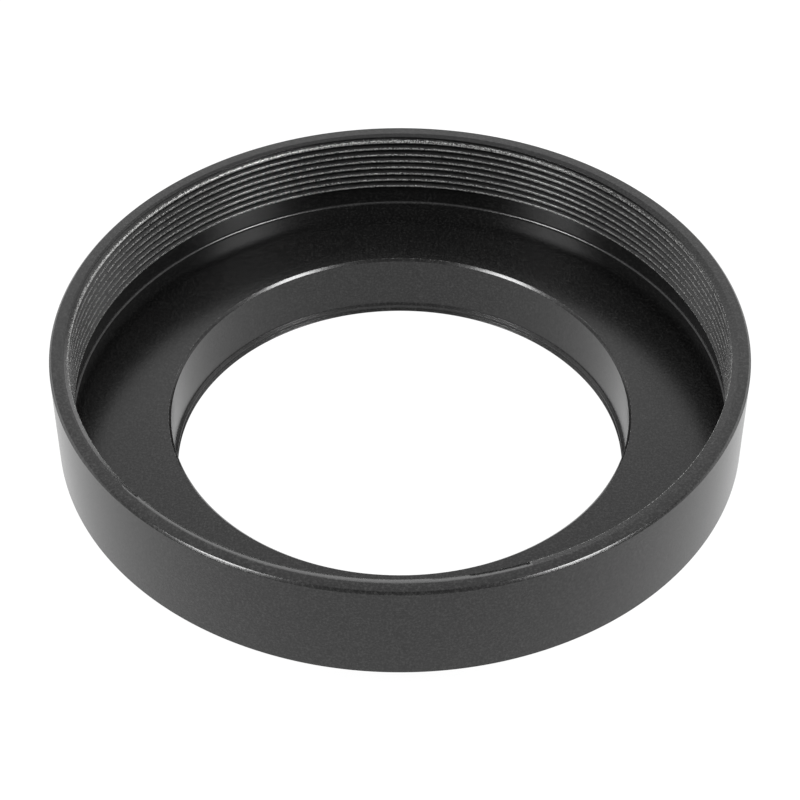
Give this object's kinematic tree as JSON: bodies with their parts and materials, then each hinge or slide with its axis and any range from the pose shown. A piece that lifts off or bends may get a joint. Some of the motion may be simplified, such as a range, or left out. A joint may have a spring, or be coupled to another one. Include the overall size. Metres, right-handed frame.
{
  "type": "lens hood",
  "caption": "Short round metal lens hood with a wide threaded mouth, a flat floor with a large light opening, and a narrower threaded collar that screws into a lens.",
  "frame": {"origin": "centre of the lens collar's end face, on the hood's axis; the hood stands on this face at z = 0", "axes": "+Z along the hood's axis, from the lens towards the wide mouth"},
  "size_m": [0.0604, 0.0604, 0.0148],
  "materials": {
    "barrel_metal": "satin black anodised",
    "cup_metal": "satin black anodised"
  },
  "bodies": {
    "root": {"front_barrel": "barrel_metal", "mount_cup": "cup_metal"}
  },
  "joints": []
}
